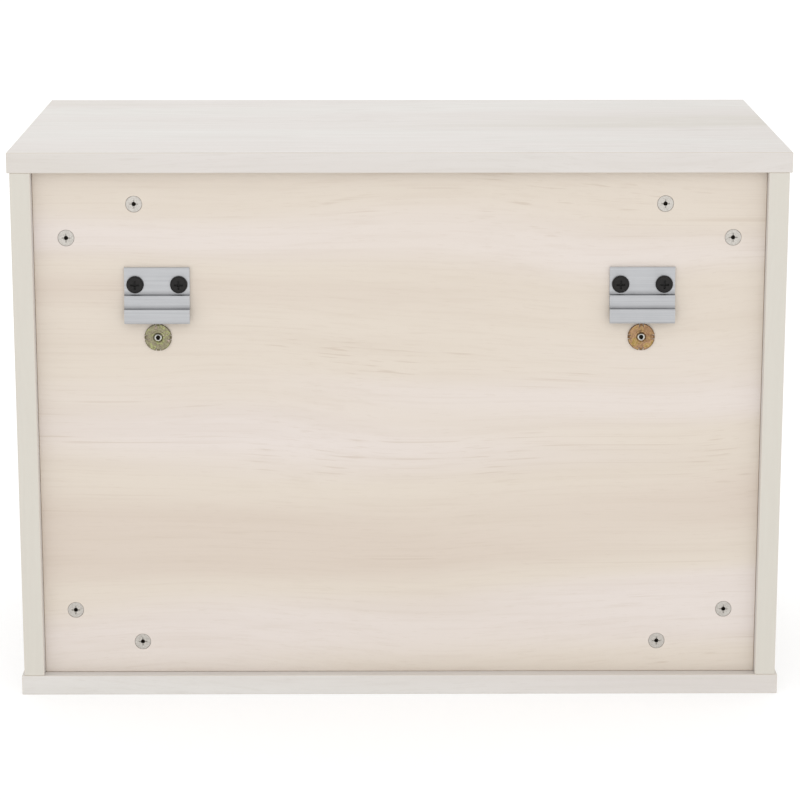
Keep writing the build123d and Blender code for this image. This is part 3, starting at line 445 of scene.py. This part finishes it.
# --- Front flap ------------------------------------------------------------------------------------------
# One faced board with its grain across the box, taped on all edges. A finger notch is routed in its top
# edge, and mortises for the hinge leaves are cut in its lower one.

dress(washed_wood("washed_ash_flap", "X", "Z", COOL_TINTS, COOL_STREAK, FOIL_EDGE_AND_SHADE, shift=26.8), "front_flap")


# --- Hinges and small screws -----------------------------------------------------------------------------
# Butt hinges rolled from nickel-plated steel strip, with a loose-fitting pin. Small zinc-plated screws
# hold them, the catches and the stays.

NICKEL = paint(200, 198, 193)
ROLLED_LINE = paint(170, 167, 160)
nickel = metal("nickel_plated_strip", NICKEL, ROLLED_LINE, 0.27, (30, 1100, 1100), 0.25)
dress(nickel, "hinge_leaves_board", "hinge_leaves_flap", "hinge_pins", "strike_discs")

SMALL_ZINC = paint(184, 185, 188)
SMALL_MARK = paint(142, 142, 142)
small_zinc = metal("small_zinc_screw", SMALL_ZINC, SMALL_MARK, 0.3, (1400, 1400, 1400), 0.3)
small_screws = [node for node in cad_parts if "screws" in node and not node.startswith("cleat")]
dress(small_zinc, *small_screws)


# --- Catches and bumpers ---------------------------------------------------------------------------------
# A nickel-plated magnet sits in a moulded white case under the top board at each end. Soft pads on the
# sides' front edges quieten the flap.


def moulded(name, colour, worn, roughness, shift=0.0):
    """Moulded plastic or rubber with a fine spark-eroded texture and a faint change of shade."""
    finish, shader = new_finish(name, roughness)
    where = add(finish, "ShaderNodeTexCoord").outputs["Object"]
    cloud = noise(finish, where, (40, 40, 40), 2.0, shift)
    pebble = noise(finish, where, (2600, 2600, 2600), 1.0, shift + 3.0)
    colour_with(finish, shader, blend_colours(finish, product(finish, cloud, 0.6), colour, worn))
    roughen(finish, shader, pebble, 0.3, 0.00004)
    return finish


MAGNET_NICKEL = paint(180, 181, 184)
MAGNET_MARK = paint(150, 150, 154)
dress(moulded("white_catch_plastic", paint(232, 231, 227), paint(216, 214, 208), 0.5), "catch_cases")
magnet = metal("magnet_plating", MAGNET_NICKEL, MAGNET_MARK, 0.2, (800, 800, 800), 0.2)
dress(magnet, "catch_magnets")
dress(moulded("bumper_rubber", paint(212, 210, 204), paint(190, 187, 180), 0.35, 4.0), "bumpers")


# --- Soft-down stays -------------------------------------------------------------------------------------
# A rotary damper in a grey moulded case is screwed to each side. Its shaft carries a stamped steel lever,
# and a stamped link joins the lever to a bracket on the flap, so the flap comes down slowly.

STAMPED_STEEL = paint(192, 192, 194)
STAMPED_MARK = paint(160, 160, 162)
DAMPER_GREY = paint(150, 151, 153)
DAMPER_WORN = paint(128, 129, 131)
stamped = metal("stamped_plated_steel", STAMPED_STEEL, STAMPED_MARK, 0.3, (900, 60, 60), 0.25)
for end in ("left", "right"):
    dress(moulded(f"damper_plastic_{end}", DAMPER_GREY, DAMPER_WORN, 0.45, 9.0), f"damper_{end}")
    dress(stamped, f"damper_shaft_{end}", f"lever_{end}", f"link_{end}", f"flap_bracket_{end}")


# --- Floor, light and camera -----------------------------------------------------------------------------
# A pale floor that glows a little and runs out of sight. One broad soft light stands behind the viewer,
# and a weaker one serves the front and the ends. The viewer stands behind the box, above its top.

FLOOR_HALF = 14.0
FLOOR_PALE = paint(208, 208, 208)
FLOOR_GREY = paint(205, 205, 205)
FLOOR_GLOW = 0.38
corners = [(x, y, cad_low.z) for x, y in ((-1, -1), (1, -1), (1, 1), (-1, 1))]
floor_mesh = bpy.data.meshes.new("studio_floor")
floor_mesh.from_pydata([(x * FLOOR_HALF, y * FLOOR_HALF, z) for x, y, z in corners], [], [(0, 1, 2, 3)])
floor = bpy.data.objects.new("studio_floor", floor_mesh)
bpy.context.scene.collection.objects.link(floor)
floor_finish, floor_shader = new_finish("pale_floor", 0.85)
floor_spot = add(floor_finish, "ShaderNodeTexCoord").outputs["Object"]
floor_cloud = noise(floor_finish, floor_spot, (3, 3, 3), 2.0)
floor_tone = blend_colours(floor_finish, floor_cloud, FLOOR_PALE, FLOOR_GREY)
colour_with(floor_finish, floor_shader, floor_tone)
floor_shader.inputs["Emission Color"].default_value = (1.0, 1.0, 1.0, 1.0)
floor_shader.inputs["Emission Strength"].default_value = FLOOR_GLOW
floor_mesh.materials.append(floor_finish)

world = bpy.data.worlds.new("studio")
world.use_nodes = True
world.node_tree.nodes["Background"].inputs["Color"].default_value = (1.0, 0.999, 0.996, 1.0)
world.node_tree.nodes["Background"].inputs["Strength"].default_value = 1.06
bpy.context.scene.world = world
bpy.context.scene.view_settings.view_transform = "Standard"

middle = (cad_low + cad_high) / 2
for name, place, width, power in (
    ("viewer_softbox", (0.0, 2.6, 1.3), 2.4, 12.0),
    ("front_softbox", (0.6, -2.6, 2.0), 2.2, 7.0),
):
    softbox = bpy.data.lights.new(name, "AREA")
    softbox.size = width
    softbox.energy = power
    lamp = bpy.data.objects.new(name, softbox)
    lamp.location = place
    lamp.rotation_euler = (middle - Vector(place)).to_track_quat("-Z", "Y").to_euler()
    bpy.context.scene.collection.objects.link(lamp)

VIEWER_BEHIND = 2.0823
VIEWER_ABOVE = 0.3042
VIEWER_ASIDE = 0.0118
LOOK_DOWN = 13.19
LOOK_ASIDE = 0.328
lens = bpy.data.cameras.new("viewer")
lens.lens = 130.44
viewer = bpy.data.objects.new("viewer", lens)
viewer.location = (middle.x + VIEWER_ASIDE, cad_high.y + VIEWER_BEHIND, cad_high.z + VIEWER_ABOVE)
viewer.rotation_euler = Euler((math.radians(90 - LOOK_DOWN), 0.0, math.radians(180 - LOOK_ASIDE)))
bpy.context.scene.collection.objects.link(viewer)
bpy.context.scene.camera = viewer
